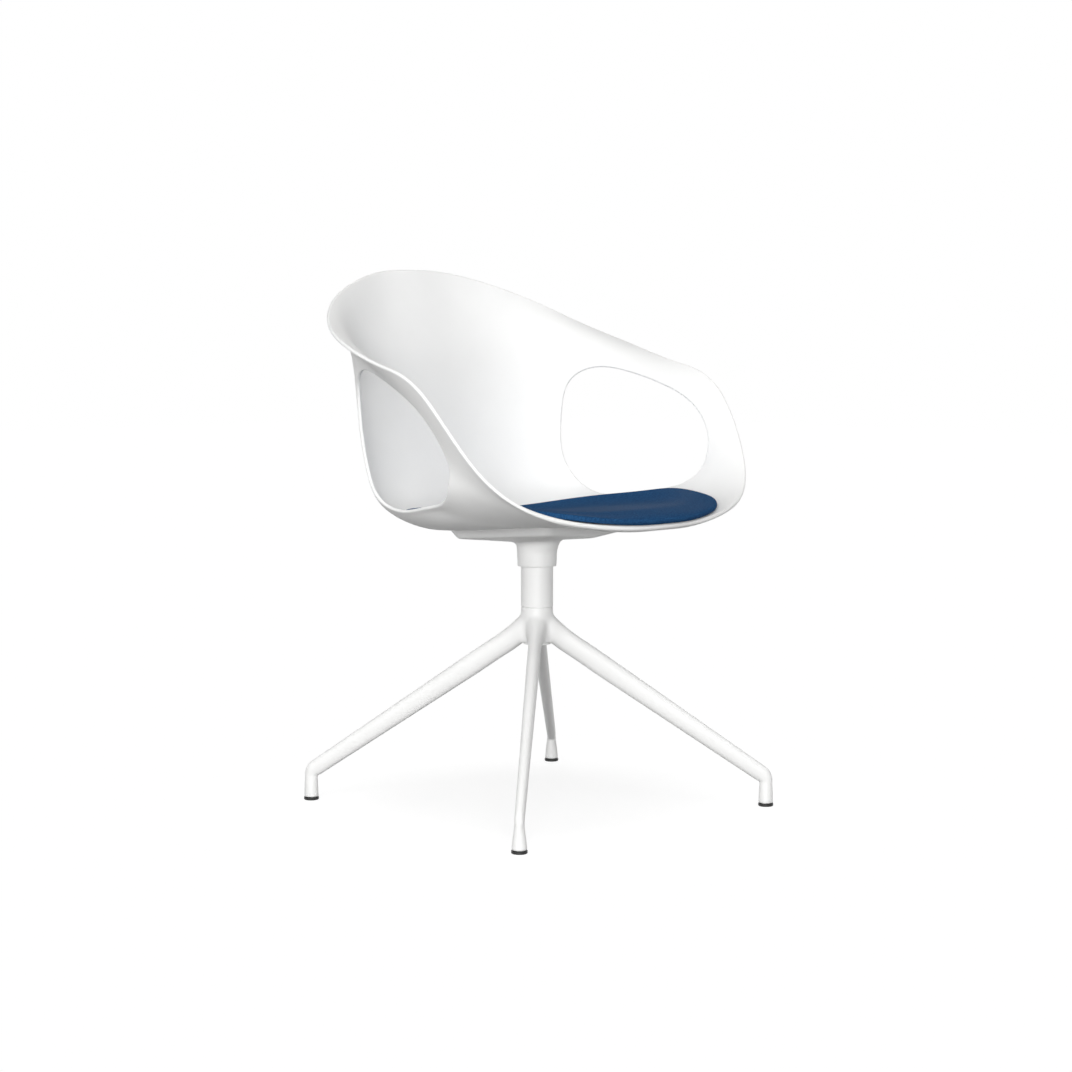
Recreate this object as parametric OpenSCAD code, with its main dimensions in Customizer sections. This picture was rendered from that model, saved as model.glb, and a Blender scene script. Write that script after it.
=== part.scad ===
// Swivel shell armchair: a one-piece moulded seat shell on a four-legged cast star base.
// Millimetres, +Z up, the front of the seat towards -Y.
// The origin is on the floor, on the swivel axis.

/* [Seat shell] */
// Radius that the shell's outlines are drawn to, about half its width over the arms
shell_r = 320; // [300:1:340]
// Height of the seat surface's middle layer on the swivel axis
seat_z = 413.8; // [400:0.1:440]
// Height of the top of the back above the seat
shell_h = 368; // [340:1:400]
// Wall of the moulded shell
shell_t = 7.5; // [6:0.5:9]
// Fall of the seat towards the back, in degrees
seat_tilt = 4.6; // [3:0.1:6]
// Facet steps of the shell all the way round
shell_steps = 90; // [60:2:96]
// Facet steps of the shell from the seat's centre to its rim
shell_rows = 16; // [12:1:18]

/* [Arm openings] */
// Half length of an arm opening, front to back
arm_hole_l = 130; // [110:1:138]
// Half height of an arm opening
arm_hole_h = 100; // [80:1:104]
// How far an arm opening's centre lies inside the shell's radius
arm_hole_in = 70; // [55:1:85]
// Distance of its centre behind the swivel axis
arm_hole_y = 35; // [20:1:50]
// Height of its centre above the seat
arm_hole_rise = 131.2; // [121:0.1:146]
// Turn of the opening towards the back, in degrees
arm_hole_yaw = 17.5; // [10:0.5:25]
// Lean of the opening, in degrees
arm_hole_lean = 11; // [5:0.5:15]

/* [Seat pad] */
// Thickness of the pad at its middle
pad_t = 8; // [6:0.5:12]
// Thickness of the pad near its edge
pad_edge_t = 5; // [4:0.5:6]
// Thickness of the stiff board under the pad
pad_board_t = 1.8; // [1.2:0.1:2.5]
// Thickness of the hook-and-loop tabs
pad_tab_t = 1.6; // [1.2:0.1:2.5]
// Radius of a hook-and-loop tab
pad_tab_r = 14; // [10:1:18]

/* [Seat plate] */
// Width of the cast plate under the seat
plate_w = 202; // [180:1:206]
// Length of the cast plate, front to back
plate_l = 202; // [180:1:206]
// Distance of the plate's centre in front of the swivel axis
plate_front = 13; // [8:0.5:16]
// Corner radius of the plate
plate_corner_r = 18; // [12:1:26]
// Depth of the plate's sloping side at its corners
plate_side_h = 13.5; // [12:0.5:16]
// Depth of the plate at its keel, in the middle of its front
plate_keel_h = 22; // [16:0.5:22.5]
// How far the plate's side draws in on its way down
plate_draft = 7; // [5:0.5:12]
// Wall of the plate casting
plate_wall = 5; // [4:0.5:7]
// Depth of the plate's underside at the neck, below the shell's middle layer
neck_depth = 26; // [25:0.5:28]
// Radius of the neck's fillet
neck_fillet = 14; // [10:0.5:18]
// Outer radius of the collar that hides the top of the column
collar_r = 28.4; // [27.5:0.1:32]
// How much the collar widens on its way up to the neck
collar_flare = 1.6; // [0:0.1:2.5]
// Wall of the collar
collar_wall = 4.2; // [3:0.1:4.5]
// Length of the collar below the top of the column
collar_l = 21; // [12:1:30]
// Spacing of the seat screws, both ways
screw_pitch = 120; // [100:1:130]

/* [Column and swivel] */
// Outer radius of the column
column_r = 23.4; // [22:0.1:23.5]
// Room for the thrust bearing and the plate's floor between the column and the neck
head_room = 16.8; // [15:0.1:20]
// Outer radius of the column's spigot in the hub
spigot_r = 17; // [16:0.1:18]
// Depth of the spigot below the seam
spigot_l = 34; // [30:1:38]
// Radius of the bore through the spigot
spigot_bore_r = 13.5; // [13:0.1:14]
// Radius of the column's bore for the bushes
bush_bore_r = 18; // [17:0.1:19]
// Height of the shoulder under the lower bush above the seam
bush_seat_h = 12; // [8:0.5:20]
// Length of each bush
bush_l = 20; // [15:1:28]
// Thickness of a bush flange
bush_flange_t = 2; // [1.5:0.1:2.5]
// Radius of the swivel spindle
spindle_r = 10; // [9:0.1:11]
// Radial running clearance of the spindle in its bushes
run_clear = 0.05; // [0.03:0.01:0.1]
// Outer radius of the thrust bearing
bearing_r = 17.5; // [16:0.1:18.5]
// Thickness of a thrust bearing washer
race_t = 2.5; // [2:0.1:3]
// Space between the two thrust washers
ball_gap = 5; // [4.5:0.1:5.5]
// Radius of a bearing ball
ball_r = 2.7; // [2.5:0.05:2.7]
// Number of bearing balls
ball_n = 12; // [8:1:12]

/* [Star base] */
// Distance of each foot from the swivel axis
foot_r = 335; // [300:1:360]
// Turn of the base from the square layout, in degrees
base_turn = -5.4; // [-45:0.1:45]
// Slope of the legs, in degrees
leg_slope = 34; // [31:0.1:35]
// Height where a leg's middle line meets its foot post's axis
knee_z = 42.8; // [38:0.1:50]
// Radius of the hub
hub_r = 23.3; // [22:0.1:24]
// Height of the hub above the legs' middle line at its wall
hub_rise = 38; // [36:0.1:44]
// Depth of the hub below that line
hub_drop = 17.5; // [15:0.1:23]
// Thickness of the hub's shelf that the column stands on
shelf_t = 21; // [17:0.5:24]
// Half depth of a leg at the hub
leg_depth_root = 16.6; // [15:0.1:18]
// Half depth of a leg at the knee
leg_depth_knee = 12; // [11:0.1:12.5]
// Half width of a leg at the hub
leg_width_root = 9.6; // [8:0.1:11]
// Half width of a leg at the knee
leg_width_knee = 6.9; // [6:0.1:8]
// Bend radius of the knee's middle line
knee_r = 13; // [12.6:0.1:16]
// Half thickness of the foot post under the knee
post_r = 9.5; // [8.5:0.1:10]
// Radius of the foot post at its lower end
post_end_r = 10.7; // [10:0.1:11]

/* [Glides] */
// Radius of a glide
glide_r = 11; // [10:0.1:12]
// Height of a glide's pad
glide_h = 4; // [3:0.1:5]
// Radius of a glide's stem
glide_stem_r = 4; // [3:0.1:5]
// Length of a glide's stem
glide_stem_l = 16; // [12:1:20]

/* [Fasteners] */
// Radius of the seat screws' shanks
screw_r = 3; // [2.5:0.5:3]
// Radius of the seat screws' heads
screw_head_r = 5.5; // [5:0.1:6]
// Height of the seat screws' heads
screw_head_h = 3.4; // [2.5:0.1:3.5]
// Outer radius of a threaded insert
insert_r = 4.6; // [4:0.1:5]
// Length of a threaded insert
insert_l = 8; // [7:0.5:8.5]
// Radius of a boss for an insert
boss_r = 9; // [8:0.5:11]
// Height of a boss under the shell
boss_h = 7; // [6:0.5:7.5]
// Radius of the spindle bolts' shanks
bolt_r = 4; // [3:0.5:4]
// Radius across the corners of the spindle bolts' heads
bolt_head_r = 7.5; // [6.5:0.1:7.8]
// Height of the spindle bolts' heads
bolt_head_h = 5.3; // [4.5:0.1:5.5]
// Length of the spindle bolts' shanks
bolt_l = 18; // [14:1:24]
// Thickness of the large washers
washer_t = 2.5; // [2:0.1:3]

/* [Hidden] */

// Clearance between fixed round parts
fit = 0.05;
// Clearance between flat faces of fixed parts
seat_gap = 0.1;
// Clearance under the soft pad
pad_gap = 0.3;
// Overrun of every cut
over = 1;
// Half of the shell's wall
half_t = shell_t / 2;
// Steps of the fine curves
fine = 96;
// Steps of the rounded parts that are blended
blend_fn = 32;

// Seat outline: end of the flat middle of the seat, front to back every 30 degrees, as shares of shell_r
flat_shares = [0.635, 0.64, 0.645, 0.605, 0.52, 0.445, 0.43];
// Places of the first four control rows as shares of that flat middle
flat_row_shares = [0, 0.2, 0.6, 1];
// Wall of the bowl, four control rows upwards from the seat: radii as shares of shell_r, every 30 degrees
wall_r_shares = [[0.665, 0.675, 0.68, 0.725, 0.73, 0.58, 0.51],
    [0.695, 0.72, 0.775, 0.805, 0.79, 0.69, 0.62],
    [0.72, 0.78, 0.93, 0.885, 0.84, 0.745, 0.605],
    [0.74, 0.815, 1.015, 0.72, 0.82, 0.835, 0.72]];
// The same rows' heights above the seat as shares of shell_h
wall_z_shares = [[0.04, 0.04, 0.085, 0.1, 0.05, 0.06, 0.06],
    [0.035, 0.03, 0.07, 0.125, 0.15, 0.185, 0.2],
    [0.03, 0.025, 0.11, 0.315, 0.425, 0.485, 0.51],
    [0.02, 0.02, 0.14, 0.54, 0.75, 0.79, 0.81]];
// Rim, every 15 degrees from the front to the back
rim_r_shares = [0.745, 0.75, 0.795, 0.91, 1.02, 1.005, 0.945, 0.965, 0.96, 0.91, 0.845, 0.83, 0.79];
rim_z_shares = [0.015, 0.01, 0.03, 0.065, 0.19, 0.58, 0.615, 0.695, 0.775, 0.885, 0.95, 0.995, 1];
// Outline of the pad, every 15 degrees, as shares of the way from the seat's centre to the rim
pad_shares = [0.92, 0.92, 0.88, 0.78, 0.65, 0.52, 0.465, 0.455, 0.435, 0.4, 0.385, 0.38, 0.37];
// Rows of the pad from its middle to its edge, as shares of its outline
pad_row_shares = [0.2, 0.4, 0.6, 0.75, 0.87, 0.95, 0.985];
// Arm opening: control points, back and up, as shares of its half length and half height
arm_hole_shares = [[0.91, 0.14], [0.89, 0.71], [0.54, 0.965], [0.1, 0.855], [-0.38, 0.65], [-0.85, 0.325],
    [-1.1, -0.39], [-0.8, -0.925], [-0.265, -0.975], [0.18, -1.1], [0.615, -0.965], [0.905, -0.49]];

// Smooth blending of tables

// Index of a station that is mirrored at the front and at the back
function fold(k, n) = abs((k + n) % (2 * n) - n);
// Weights of four neighbouring stations in a uniform cubic B-spline
function blend(u) = [pow(1 - u, 3), 3 * pow(u, 3) - 6 * pow(u, 2) + 4,
    -3 * pow(u, 3) + 3 * pow(u, 2) + 3 * u + 1, pow(u, 3)] / 6;
// Value of a table of stations at an angle from the front
function around(v, a) = let (n = len(v) - 1, s = a * n / 180, k = floor(s))
    blend(s - k) * [for (j = [-1:2]) v[fold(k + j, n)]];
// Closed curve through the neighbourhood of a ring of control points
function ring_curve(pts, steps) = let (n = len(pts))
    [for (i = [0:n - 1], s = [0:steps - 1]) blend(s / steps) * [for (j = [-1:2]) pts[(i + j + n) % n]]];

// Surface of the shell's middle layer

control_n = 9;
degree = 3;
function knot(i) = min(max(i - degree, 0), control_n - degree) / (control_n - degree);
function basis(i, p, t) = p == 0 ? (knot(i) <= t && t < knot(i + 1) ? 1 : 0) :
    (knot(i + p) > knot(i) ? (t - knot(i)) / (knot(i + p) - knot(i)) * basis(i, p - 1, t) : 0)
    + (knot(i + p + 1) > knot(i + 1)
        ? (knot(i + p + 1) - t) / (knot(i + p + 1) - knot(i + 1)) * basis(i + 1, p - 1, t) : 0);
// Weights of the control rows at a share of the way from the seat's centre to the rim
function weights(t) = [for (i = [0:control_n - 1]) t < 1 ? basis(i, degree, t) : (i < control_n - 1 ? 0 : 1)];
// Control rows at an angle, as [radius, height]
function controls(a) = concat(
    [for (s = flat_row_shares) let (r = s * shell_r * around(flat_shares, a))
        [r, seat_z + tan(seat_tilt) * cos(a) * r]],
    [for (k = [0:3]) [shell_r * around(wall_r_shares[k], a), seat_z + shell_h * around(wall_z_shares[k], a)]],
    [[shell_r * around(rim_r_shares, a), seat_z + shell_h * around(rim_z_shares, a)]]);
function placed(p, a) = [p.x * sin(a), -p.x * cos(a), p.y];
function unit(v) = v / norm(v);
// Steps of the slopes that give the surface's direction
turn_step = 0.5;
row_step_share = 0.004;
// Frame of the surface at an angle and a share: place, way in and up, way out along the wall
function frame_at(a, t) = let (
    c = controls(a), w = weights(t), p = placed(w * c, a),
    low = placed(weights(t - row_step_share) * c, a),
    high = placed(weights(min(t + row_step_share, 1)) * c, a),
    left = placed(w * controls(a - turn_step + 360), a - turn_step),
    right = placed(w * controls(a + turn_step), a + turn_step),
    along = unit(high - low), n = unit(cross(along, right - left)))
    [p, n, along];
seat_up = [0, sin(seat_tilt), cos(seat_tilt)];
seat_centre = [0, 0, seat_z];

// Closed skin over rings of points, with a point at each end. Each four points between two rings are
// split along one diagonal, and along the other one from the ring given on.
module ring_skin(first, rings, last, swap_from = undef) {
    n = len(rings[0]);
    m = len(rings);
    points = concat([first], [for (r = rings) each r], [last]);
    swap = is_undef(swap_from) ? m : swap_from;
    function at(j, i) = 1 + j * n + i % n;
    faces = concat(
        [for (i = [0:n - 1]) [0, at(0, i), at(0, i + 1)]],
        [for (j = [0:m - 2], i = [0:n - 1])
            [at(j, i), at(j + 1, i), j < swap ? at(j + 1, i + 1) : at(j, i + 1)]],
        [for (j = [0:m - 2], i = [0:n - 1])
            [j < swap ? at(j, i) : at(j + 1, i), at(j + 1, i + 1), at(j, i + 1)]],
        [for (i = [0:n - 1]) [at(m - 1, i + 1), at(m - 1, i), m * n + 1]]);
    polyhedron(points, faces, 10);
}

// Seat shell

// Rows crowd together towards the rim, where the wall curves most
row_power = 0.8;
shell_row_t = [for (j = [1:shell_rows]) pow(j / shell_rows, row_power)];
shell_angles = [for (i = [0:shell_steps - 1]) 360 * i / shell_steps];
rim_turns = [-50, 0, 50];

module shell_body() {
    frames = [for (t = shell_row_t) [for (a = shell_angles) frame_at(a, t)]];
    rim = frames[shell_rows - 1];
    outer = [for (row = frames) [for (f = row) f[0] - half_t * f[1]]];
    edge = [for (b = rim_turns) [for (f = rim) f[0] + half_t * (cos(b) * f[2] + sin(b) * f[1])]];
    inner = [for (j = [shell_rows - 1:-1:0]) [for (f = frames[j]) f[0] + half_t * f[1]]];
    ring_skin(seat_centre - half_t * seat_up, concat(outer, edge, inner), seat_centre + half_t * seat_up);
}

hole_steps = 4;
// Reach of the cut to each side of the wall
arm_cut = 60;
module arm_cutter() {
    translate([shell_r - arm_hole_in, arm_hole_y, seat_z + arm_hole_rise])
        rotate([0, 90 + arm_hole_lean, arm_hole_yaw])
            rotate([0, 0, 90])
                translate([0, 0, -arm_cut])
                    linear_extrude(2 * arm_cut)
                        polygon([for (p = ring_curve(arm_hole_shares, hole_steps))
                            [p.x * arm_hole_l, p.y * arm_hole_h]]);
}

// Places things in the tilted frame of the seat, with zero in the shell's middle layer
module on_seat() {
    translate(seat_centre)
        rotate([-seat_tilt, 0, 0])
            children();
}
module at_screws() {
    for (x = [-1, 1], y = [-1, 1])
        translate([x * screw_pitch / 2, y * screw_pitch / 2 - plate_front, 0])
            children();
}
boss_z = -half_t - boss_h;

module shell() color("white") difference() {
    union() {
        shell_body();
        on_seat()
            at_screws()
                translate([0, 0, boss_z])
                    cylinder(h = boss_h + half_t, r = boss_r, $fn = fine);
    }
    arm_cutter();
    mirror([1, 0, 0])
        arm_cutter();
    on_seat()
        at_screws()
            translate([0, 0, boss_z - over])
                cylinder(h = insert_l + over + seat_gap, r = insert_r + fit, $fn = fine);
}

module shell_inserts() color("goldenrod") on_seat() at_screws() translate([0, 0, boss_z]) difference() {
    cylinder(h = insert_l, r = insert_r, $fn = fine);
    translate([0, 0, -over])
        cylinder(h = insert_l + 2 * over, r = screw_r + fit, $fn = fine);
}

// Seat pad with its board and tabs

tab_z = half_t + seat_gap;
board_low = half_t + pad_tab_t + 2 * seat_gap;
pad_low = board_low + pad_board_t + pad_gap;
pad_steps = 64;
pad_turns = [-60, 0, 60];
// Rows of the pad that the board under it reaches
board_rows = 6;
function edge_t(a) = around(pad_shares, a);
// Crown of the pad over its rows: full in the middle and drawn in at the sewn edge
crown_power = 4;
function crown(s) = pad_edge_t + (pad_t - pad_edge_t) * (1 - pow(s, crown_power));

module seat_pad() color("midnightblue") {
    angles = [for (i = [0:pad_steps - 1]) 360 * i / pad_steps];
    rows = [for (s = pad_row_shares) [for (a = angles) frame_at(a, s * edge_t(a))]];
    last = len(rows) - 1;
    round_r = pad_edge_t / 2;
    low = [for (row = rows) [for (f = row) f[0] + pad_low * f[1]]];
    side = [for (b = pad_turns) [for (f = rows[last])
        f[0] + (pad_low + round_r) * f[1] + round_r * (cos(b) * f[2] + sin(b) * f[1])]];
    high = [for (j = [last:-1:0]) [for (f = rows[j]) f[0] + (pad_low + crown(pad_row_shares[j])) * f[1]]];
    ring_skin(seat_centre + pad_low * seat_up, concat(low, side, high),
        seat_centre + (pad_low + pad_t) * seat_up);
}

module pad_board() color("dimgray") {
    angles = [for (i = [0:pad_steps - 1]) 360 * i / pad_steps];
    rows = [for (j = [0:board_rows - 1]) [for (a = angles) frame_at(a, pad_row_shares[j] * edge_t(a))]];
    low = [for (row = rows) [for (f = row) f[0] + board_low * f[1]]];
    high = [for (j = [len(rows) - 1:-1:0]) [for (f = rows[j]) f[0] + (board_low + pad_board_t) * f[1]]];
    ring_skin(seat_centre + board_low * seat_up, concat(low, high),
        seat_centre + (board_low + pad_board_t) * seat_up, board_rows);
}

module pad_tabs() color("black") on_seat() at_screws() translate([0, 0, tab_z])
    cylinder(h = pad_tab_t, r = pad_tab_r, $fn = fine);

// Seat plate: an open-topped casting with its neck, collar and spindle boss

plate_top = -half_t - seat_gap;
slab = 0.4;
core_r = 27;
plate_boss_r = 10;
screw_hole_clear = 0.3;
// Thickness under a seat screw's head
screw_grip = 5;
head_z = boss_z - seat_gap - screw_grip;
neck_r = collar_r + neck_fillet;
neck_z = seat_z - neck_depth;
// Height of the floor of the recess for the spindle's top bolt
boss_rise = 10.2;
top_recess_z = neck_z + boss_rise;
// Height of the top of the column, and of the collar's lower edge
column_top_z = neck_z - head_room;
collar_z = column_top_z - collar_l;
// Height of the ceiling over the thrust bearing
ceiling_z = column_top_z + bush_flange_t + 2 * race_t + ball_gap + 3 * seat_gap;
skirt_r = collar_r - collar_wall;
// Ledge where the tilted fillet meets the upright collar
neck_ledge = 0.2;
// Radius of the keel's rounded nose
keel_r = 7;

// Rounded slab of the plate, drawn in from its full size
module plate_slab(inset) {
    for (x = [-1, 1], y = [-1, 1])
        translate([x * (plate_w / 2 - inset - plate_corner_r), y * (plate_l / 2 - inset - plate_corner_r)
            - plate_front, 0])
            cylinder(h = slab, r = plate_corner_r, $fn = blend_fn);
}
// Form of the plate: flat top, drawn-in sides, a keel at the front and a round foot at the neck
module plate_form(inset, lift, rise) {
    on_seat()
        hull() {
            translate([0, 0, plate_top - slab + rise])
                plate_slab(inset);
            translate([0, 0, plate_top - plate_side_h + lift])
                plate_slab(inset + plate_draft);
            translate([0, plate_draft + inset + keel_r - plate_l / 2 - plate_front, plate_top - plate_keel_h + lift])
                cylinder(h = slab, r = keel_r, $fn = blend_fn);
            translate([0, 0, lift - neck_depth])
                cylinder(h = slab, r = neck_r - inset, $fn = blend_fn);
        }
}
module neck() {
    translate([0, 0, collar_z])
        cylinder(h = neck_z - collar_z + over, r1 = collar_r, r2 = collar_r + collar_flare, $fn = fine);
    on_seat()
        translate([0, 0, -neck_depth - neck_fillet])
            rotate_extrude($fn = fine) difference() {
                square([neck_r, neck_fillet + slab]);
                translate([neck_r + neck_ledge, 0])
                    circle(r = neck_fillet, $fn = fine);
            }
}

module seat_plate() color("gainsboro") difference() {
    union() {
        difference() {
            union() {
                plate_form(0, 0, 0);
                neck();
            }
            intersection() {
                plate_form(plate_wall, plate_wall, over);
                translate([0, 0, neck_z + plate_wall])
                    cylinder(h = plate_keel_h * 3, r = plate_w, $fn = fine);
            }
        }
        translate([0, 0, neck_z])
            cylinder(h = top_recess_z - neck_z, r = core_r, $fn = fine);
        on_seat()
            at_screws()
                translate([0, 0, head_z - screw_head_h])
                    cylinder(h = boss_z - seat_gap - head_z + screw_head_h, r = plate_boss_r, $fn = fine);
    }
    translate([0, 0, collar_z - over])
        cylinder(h = ceiling_z - collar_z + over, r = skirt_r, $fn = fine);
    translate([0, 0, ceiling_z - over])
        cylinder(h = top_recess_z - ceiling_z + 2 * over, r = spindle_r + fit, $fn = fine);
    on_seat()
        at_screws() {
            translate([0, 0, head_z - over])
                cylinder(h = screw_grip + 2 * over, r = screw_r + screw_hole_clear, $fn = fine);
            translate([0, 0, head_z - plate_keel_h])
                cylinder(h = plate_keel_h, r = screw_head_r + screw_hole_clear, $fn = fine);
        }
}

module seat_screws() color("silver") on_seat() at_screws() union() {
    translate([0, 0, head_z - screw_head_h - seat_gap])
        cylinder(h = screw_head_h, r = screw_head_r, $fn = fine);
    translate([0, 0, head_z - 2 * seat_gap])
        cylinder(h = screw_grip + insert_l - over, r = screw_r, $fn = fine);
}

// Heights of the hub and the column, worked out from the legs
function leg_mid(r) = knee_z + tan(leg_slope) * (foot_r - r);
hub_z = leg_mid(hub_r) - hub_drop;
seam_z = leg_mid(hub_r) + hub_rise;
shelf_z = seam_z - shelf_t;
bush_seat_z = seam_z + bush_seat_h;

// Swivel: spindle in two bushes, carried on a ball thrust bearing

race_z = column_top_z + bush_flange_t + seat_gap;
ball_z = race_z + race_t + ball_gap / 2;
upper_race_z = race_z + race_t + ball_gap;
// Lift that the washer under the lower bush allows
lift_play = 0.3;
spindle_end_z = bush_seat_z + 2 * seat_gap - lift_play;
track_r = (spindle_r + bearing_r) / 2 + run_clear;
// Depth of the ball grooves, and how much wider than a ball they are
groove_depth = 0.5;
groove_clear = 0.2;
race_bore_r = spindle_r + 0.3 * ball_r;

module race_ring(r1, r2, t, groove_side) {
    rotate_extrude($fn = fine) difference() {
        translate([r1, 0])
            square([r2 - r1, t]);
        translate([track_r, groove_side > 0 ? t + ball_r + groove_clear - groove_depth
            : groove_depth - ball_r - groove_clear])
            circle(r = ball_r + groove_clear, $fn = fine);
    }
}
module lower_race() color("silver") translate([0, 0, race_z]) race_ring(race_bore_r, bearing_r, race_t, 1);
module upper_race() color("silver") translate([0, 0, upper_race_z])
    race_ring(race_bore_r, bearing_r, race_t, -1);

module at_balls() {
    for (i = [0:ball_n - 1])
        rotate([0, 0, 360 * i / ball_n])
            translate([track_r, 0, ball_z])
                children();
}
module bearing_balls() color("silver") at_balls() sphere(r = ball_r, $fn = fine);

cage_t = 2;
pocket_clear = 0.15;
module bearing_cage() color("goldenrod") difference() {
    translate([0, 0, ball_z - cage_t / 2])
        rotate_extrude($fn = fine)
            translate([race_bore_r + pocket_clear, 0])
                square([bearing_r - race_bore_r - 2 * pocket_clear, cage_t]);
    at_balls()
        translate([0, 0, -cage_t])
            cylinder(h = 2 * cage_t, r = ball_r + pocket_clear, $fn = fine);
}

module bush(z, flange_z, flange_r) {
    rotate_extrude($fn = fine) union() {
        translate([spindle_r + run_clear, z])
            square([bush_bore_r - fit - spindle_r - run_clear, bush_l]);
        if (flange_r > 0)
            translate([spindle_r + run_clear, flange_z])
                square([flange_r - spindle_r - run_clear, bush_flange_t]);
    }
}
module upper_bush() color("ivory") bush(column_top_z - bush_l + seat_gap, column_top_z, bearing_r);
module lower_bush() color("ivory") bush(bush_seat_z + seat_gap, 0, 0);

module column_tube() color("whitesmoke") rotate_extrude($fn = fine) difference() {
    union() {
        translate([0, seam_z])
            square([column_r, column_top_z - seat_gap - seam_z]);
        translate([0, seam_z - spigot_l])
            square([spigot_r, spigot_l + over]);
    }
    translate([0, bush_seat_z])
        square([bush_bore_r, column_top_z]);
    translate([0, seam_z - spigot_l - over])
        square([spigot_bore_r, column_top_z]);
}

nut_r = 19.4;
nut_h = 9;
nut_clear = 0.4;
module column_nut() color("silver") difference() {
    translate([0, 0, shelf_z - nut_h - seat_gap])
        cylinder(h = nut_h, r = nut_r, $fn = fine);
    translate([0, 0, shelf_z - nut_h - seat_gap - over])
        cylinder(h = nut_h + 2 * over, r = spigot_r + fit, $fn = fine);
    for (a = [0, 90, 180, 270])
        rotate([0, 0, a])
            translate([nut_r - over, -over, shelf_z - nut_h - seat_gap - over])
                cube([2 * over, 2 * over, nut_h / 2 + over]);
}

cap_t = 3;
cap_wall = 1.5;
cap_h = 12;
module hub_cap() color("white") difference() {
    translate([0, 0, hub_z])
        cylinder(h = cap_h, r = nut_r + nut_clear - fit, $fn = fine);
    translate([0, 0, hub_z + cap_t])
        cylinder(h = cap_h, r = nut_r + nut_clear - fit - cap_wall, $fn = fine);
}

module spindle() color("silver") difference() {
    translate([0, 0, spindle_end_z])
        cylinder(h = top_recess_z - spindle_end_z, r = spindle_r, $fn = fine);
    for (z = [spindle_end_z - over, top_recess_z - bolt_l + washer_t - seat_gap])
        translate([0, 0, z])
            cylinder(h = bolt_l - washer_t + over + seat_gap, r = bolt_r + fit, $fn = fine);
}
module big_washer(z, r) {
    difference() {
        translate([0, 0, z])
            cylinder(h = washer_t, r = r, $fn = fine);
        translate([0, 0, z - over])
            cylinder(h = washer_t + 2 * over, r = bolt_r + fit, $fn = fine);
    }
}
// Hexagon bolt that stands on its head at a height and points up or down
module hex_bolt(z, way) {
    translate([0, 0, z])
        mirror([0, 0, way > 0 ? 0 : 1])
            union() {
                translate([0, 0, -bolt_head_h])
                    cylinder(h = bolt_head_h, r = bolt_head_r, $fn = 6);
                cylinder(h = bolt_l - seat_gap, r = bolt_r, $fn = fine);
            }
}
washer_clear = 0.6;
module spindle_bottom_washer() color("silver")
    big_washer(spindle_end_z - washer_t - seat_gap, spigot_bore_r - washer_clear);
module spindle_bottom_bolt() color("silver") hex_bolt(spindle_end_z - washer_t - 2 * seat_gap, 1);
module spindle_top_washer() color("silver") big_washer(top_recess_z + seat_gap, core_r - plate_wall * 2);
module spindle_top_bolt() color("silver") hex_bolt(top_recess_z + washer_t + 2 * seat_gap, -1);

// Star base: one casting of hub, legs and foot posts

leg_sides = 24;
section_power = 2.4;
// Root rings of a leg, from just outside the hub's wall to where its edges run straight
root_shares = [0.02, 0.25, 0.5, 0.75];
root_angle_shares = [0, 0.25, 0.5, 0.8];
root_r = 2 * hub_r;
// Depth in the hub's wall where a leg begins
root_sink = 1.3;
root_flare = 5.4;
root_lift = 3.8;
root_widen = 5;
straight_n = 3;
knee_steps = 5;
post_shares = [0.4, 0.75, 1];

knee_turn = 90 - leg_slope;
knee_cut = knee_r * tan(knee_turn / 2);
knee_start_r = foot_r - knee_cut * cos(leg_slope);
knee_end_z = knee_z - knee_cut;
post_top_z = knee_end_z;
post_low_z = glide_h + seat_gap;
function mix(a, b, s) = a + (b - a) * s;
// A superellipse's point at an angle, one unit in radius
function oval(t) = [sign(cos(t)) * pow(abs(cos(t)), 2 / section_power),
    sign(sin(t)) * pow(abs(sin(t)), 2 / section_power)];
// Ring of a leg: radius and height of its centre, fall of its direction, half depth, half width
function leg_ring(r, z, fall, depth, width, round_share) = [for (i = [0:leg_sides - 1])
    let (t = 360 * i / leg_sides, o = mix(oval(t), [cos(t), sin(t)], round_share), d = o.y * depth)
    [r + d * sin(fall), o.x * width, z + d * cos(fall)]];
function root_ring(k) = let (s = root_shares[k], r = mix(hub_r, root_r, s), f = pow(1 - s, 2))
    leg_ring(r, leg_mid(r) + root_lift * f, leg_slope * root_angle_shares[k],
        leg_depth_root + root_flare * f, leg_width_root + root_widen * f, 0);
function straight_ring(s) = let (r = mix(root_r, knee_start_r, s))
    leg_ring(r, leg_mid(r), leg_slope, mix(leg_depth_root, leg_depth_knee, s),
        mix(leg_width_root, leg_width_knee, s), 0);
// The knee turns about a centre inside the bend
knee_centre_r = foot_r - knee_r;
knee_centre_z = knee_end_z;
function knee_ring(s) = let (fall = mix(leg_slope, 90, s))
    leg_ring(knee_centre_r + knee_r * sin(fall), knee_centre_z + knee_r * cos(fall), fall,
        mix(leg_depth_knee, post_r, s), leg_width_knee, s);
function post_ring(s) = leg_ring(foot_r, mix(post_top_z, post_low_z, s), 90, mix(post_r, post_end_r, s),
    mix(leg_width_knee, post_end_r, pow(s, 0.8)), 1);

module leg() {
    first_r = hub_r - root_sink;
    sunk = [for (p = root_ring(0)) [sqrt(pow(first_r, 2) - pow(p.y, 2)), p.y, p.z]];
    rings = concat([sunk], [for (k = [0:len(root_shares) - 1]) root_ring(k)],
        [for (i = [0:straight_n - 1]) straight_ring(i / straight_n)],
        [for (i = [0:knee_steps]) knee_ring(i / knee_steps)],
        [for (s = post_shares) post_ring(s)]);
    ring_skin([first_r, 0, leg_mid(hub_r)], rings, [foot_r, 0, post_low_z]);
}
module at_feet() {
    for (k = [0:3])
        rotate([0, 0, foot_angle(k)])
            children();
}
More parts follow.
